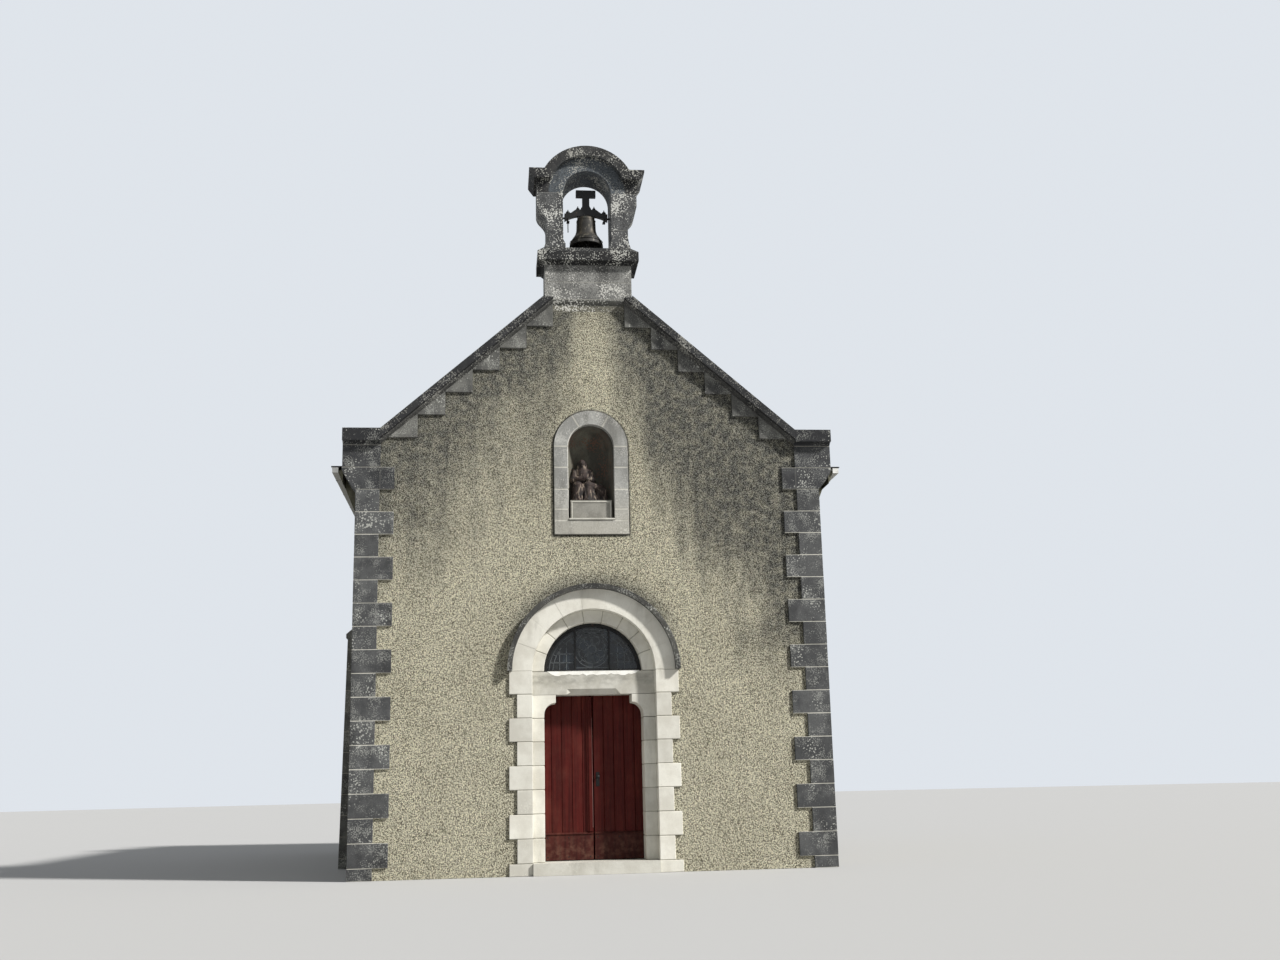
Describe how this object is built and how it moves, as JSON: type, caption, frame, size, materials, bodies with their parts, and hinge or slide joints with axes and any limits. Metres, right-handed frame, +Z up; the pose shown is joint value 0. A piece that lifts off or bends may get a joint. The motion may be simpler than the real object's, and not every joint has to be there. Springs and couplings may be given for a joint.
{
  "type": "small chapel",
  "caption": "Small stone chapel, hollow, with a gabled front, a round-arched portal with double doors, a niche and a bell-cote with a swinging bell.",
  "frame": {"origin": "middle of the floor slab's underside, at ground level", "axes": "+X to the right of someone facing the front, +Y from the front into the nave, +Z up"},
  "size_m": [7.06, 9.6, 9.89],
  "materials": {
    "quoin_stone": "weathered grey limestone, tooled",
    "coping_stone": "limestone blackened by lichen",
    "roughcast": "lime roughcast over rubble, stained",
    "portal_stone": "pale limestone, dressed",
    "niche_stone": "grey limestone, dressed",
    "bellcote_stone": "speckled grey limestone",
    "floor_stone": "worn flags",
    "roof_slates": "blue-grey slates in courses",
    "ridge_clay": "matt clay, weathered",
    "leaded_glass": "hammered",
    "weathered_figure": "dark, weathered",
    "white_gutter": "satin",
    "black_iron": "black, rusting",
    "bell_bronze": "brown patina",
    "painted_boards": "dark red paint, faded"
  },
  "bodies": {
    "chapel": {"bell_bearings": "black_iron", "bellcote_base": "bellcote_stone", "bellcote_cornice": "coping_stone", "bellcote_crown": "coping_stone", "bellcote_pier_left": "bellcote_stone", "bellcote_pier_right": "bellcote_stone", "buttresses": "quoin_stone", "copings_front": "coping_stone", "copings_rear": "coping_stone", "door_lintel": "portal_stone", "door_pintles": "black_iron", "door_sill": "portal_stone", "eaves_cornices": "portal_stone", "fanlight_frame": "black_iron", "fanlight_glass": "leaded_glass", "floor_slab": "floor_stone", "front_wall_left": "roughcast", "front_wall_right": "roughcast", "front_wall_upper": "roughcast", "gable_steps_front": "quoin_stone", "gable_steps_rear": "quoin_stone", "gutters": "white_gutter", "hood_mould": "portal_stone", "kneelers_front": "coping_stone", "kneelers_rear": "coping_stone", "niche_pedestal": "niche_stone", "niche_statue": "weathered_figure", "niche_surround": "niche_stone", "portal_arch": "portal_stone", "portal_inner_arch": "portal_stone", "portal_jamb_left": "portal_stone", "portal_jamb_right": "portal_stone", "quoins_front": "quoin_stone", "quoins_rear": "quoin_stone", "rear_wall": "roughcast", "ridge": "ridge_clay", "roof_left": "roof_slates", "roof_right": "roof_slates", "side_wall_left": "roughcast", "side_wall_right": "roughcast", "window_glass": "leaded_glass", "window_surrounds": "portal_stone"},
    "door_left": {"door_leaf_left": "painted_boards", "door_hinges_left": "black_iron", "door_cover_strip": "painted_boards"},
    "door_right": {"door_leaf_right": "painted_boards", "door_hinges_right": "black_iron"},
    "bell": {"bell": "bell_bronze", "bell_yoke": "black_iron", "bell_clapper": "black_iron", "bell_lever": "black_iron"}
  },
  "joints": [
    {"name": "door_left_hinge", "type": "hinge", "parent": "chapel", "child": "door_left", "pos_m": [-0.69, -4.13, 1.2], "axis": [0, 0, 1], "range_deg": [0, 95]},
    {"name": "door_right_hinge", "type": "hinge", "parent": "chapel", "child": "door_right", "pos_m": [0.69, -4.13, 1.2], "axis": [0, 0, -1], "range_deg": [0, 95]},
    {"name": "bell_swing", "type": "hinge", "parent": "chapel", "child": "bell", "pos_m": [0, -4.435, 8.94], "axis": [1, 0, 0], "range_deg": [-60, 60]}
  ]
}
